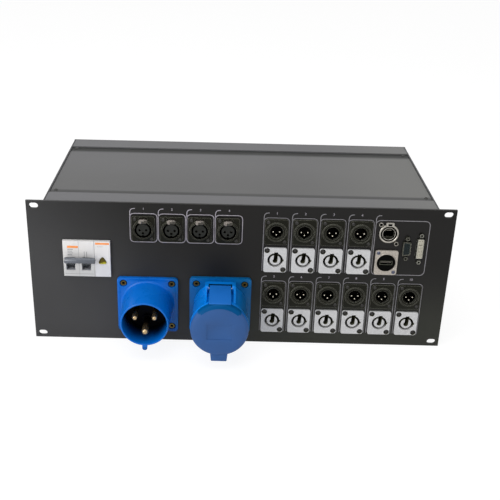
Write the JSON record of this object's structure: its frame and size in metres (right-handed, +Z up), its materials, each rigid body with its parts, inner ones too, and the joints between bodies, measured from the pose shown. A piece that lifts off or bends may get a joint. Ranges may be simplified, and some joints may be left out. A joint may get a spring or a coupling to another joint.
{
  "type": "rack stage box",
  "caption": "Rack-mount stage distribution box with a mains inlet, a lidded mains outlet, a breaker and rows of audio, power, network and video sockets.",
  "frame": {"origin": "under the middle of the object's bounding box, level with the front panel's lower edge", "axes": "+X to the right seen from the front, +Y from the front panel to the rear, +Z up"},
  "size_m": [0.4826, 0.2833, 0.177],
  "materials": {
    "panel_paint": "satin dark grey powder coat",
    "case_paint": "satin grey powder coat",
    "side_paint": "satin dark grey powder coat",
    "blue_plastic": "moulded, slightly glossy",
    "black_plastic": "moulded, fine texture",
    "grey_plastic": "moulded, pale grey",
    "white_plastic": "moulded, white",
    "toggle_plastic": "moulded, dark grey",
    "button_plastic": "moulded, dark yellow",
    "nickel": "nickel plated",
    "brass": "bare, bright",
    "steel": "zinc plated",
    "rubber": "soft black"
  },
  "bodies": {
    "case": {"analog_video_socket": "nickel", "audio_input_1": "black_plastic", "audio_input_2": "black_plastic", "audio_input_3": "black_plastic", "audio_input_4": "black_plastic", "audio_output_01": "black_plastic", "audio_output_02": "black_plastic", "audio_output_03": "black_plastic", "audio_output_04": "black_plastic", "audio_output_05": "black_plastic", "audio_output_06": "black_plastic", "audio_output_07": "black_plastic", "audio_output_08": "black_plastic", "audio_output_09": "black_plastic", "audio_output_10": "black_plastic", "bottom_cover": "case_paint", "bottom_front_rail": "case_paint", "bottom_rear_rail": "case_paint", "breaker_body": "white_plastic", "carrier_rail": "steel", "digital_video_socket": "nickel", "front_panel": "panel_paint", "inlet_earth_pin": "brass", "inlet_line_pin": "brass", "inlet_neutral_pin": "brass", "inlet_pin_carrier": "black_plastic", "inlet_shell": "blue_plastic", "left_side_plate": "side_paint", "lid_hinge_pin": "steel", "lid_spring": "steel", "network_socket": "nickel", "outlet_contact_carrier": "blue_plastic", "outlet_shell": "blue_plastic", "power_outlet_01": "grey_plastic", "power_outlet_02": "grey_plastic", "power_outlet_03": "grey_plastic", "power_outlet_04": "grey_plastic", "power_outlet_05": "grey_plastic", "power_outlet_06": "grey_plastic", "power_outlet_07": "grey_plastic", "power_outlet_08": "grey_plastic", "power_outlet_09": "grey_plastic", "power_outlet_10": "grey_plastic", "rear_panel": "case_paint", "residual_current_module": "white_plastic", "right_side_plate": "side_paint", "slim_video_socket": "nickel", "terminal_block": "grey_plastic", "top_cover": "case_paint", "top_front_rail": "case_paint", "top_rear_rail": "case_paint"},
    "breaker_toggle": {"breaker_toggle": "toggle_plastic"},
    "test_button": {"test_button": "button_plastic"},
    "outlet_lid": {"outlet_lid": "blue_plastic", "lid_seal": "rubber"},
    "input_latch_1": {"audio_input_latch_1": "nickel"},
    "input_latch_2": {"audio_input_latch_2": "nickel"},
    "input_latch_3": {"audio_input_latch_3": "nickel"},
    "input_latch_4": {"audio_input_latch_4": "nickel"},
    "network_latch": {"network_latch": "nickel"}
  },
  "joints": [
    {"name": "breaker_toggle", "type": "hinge", "parent": "case", "child": "breaker_toggle", "pos_m": [-0.1841, -0.07565, 0.101], "axis": [1, 0, 0], "range_deg": [0, 63]},
    {"name": "test_button_press", "type": "slide", "parent": "case", "child": "test_button", "axis": [0, 1, 0], "range_m": [0, 0.0012], "stiffness_N_per_m": 500, "springref_m": -0.001},
    {"name": "outlet_lid_hinge", "type": "hinge", "parent": "case", "child": "outlet_lid", "pos_m": [-0.0213, -0.10065, 0.0837], "axis": [-1, 0, 0], "range_deg": [0, 110], "stiffness_Nm_per_rad": 0.05, "springref_deg": -34.38},
    {"name": "input_latch_1_press", "type": "slide", "parent": "case", "child": "input_latch_1", "axis": [0, 1, 0], "range_m": [0, 0.0015], "stiffness_N_per_m": 800, "springref_m": -0.001},
    {"name": "input_latch_2_press", "type": "slide", "parent": "case", "child": "input_latch_2", "axis": [0, 1, 0], "range_m": [0, 0.0015], "stiffness_N_per_m": 800, "springref_m": -0.001},
    {"name": "input_latch_3_press", "type": "slide", "parent": "case", "child": "input_latch_3", "axis": [0, 1, 0], "range_m": [0, 0.0015], "stiffness_N_per_m": 800, "springref_m": -0.001},
    {"name": "input_latch_4_press", "type": "slide", "parent": "case", "child": "input_latch_4", "axis": [0, 1, 0], "range_m": [0, 0.0015], "stiffness_N_per_m": 800, "springref_m": -0.001},
    {"name": "network_latch_press", "type": "slide", "parent": "case", "child": "network_latch", "axis": [0, 1, 0], "range_m": [0, 0.0012], "stiffness_N_per_m": 600, "springref_m": -0.001}
  ]
}
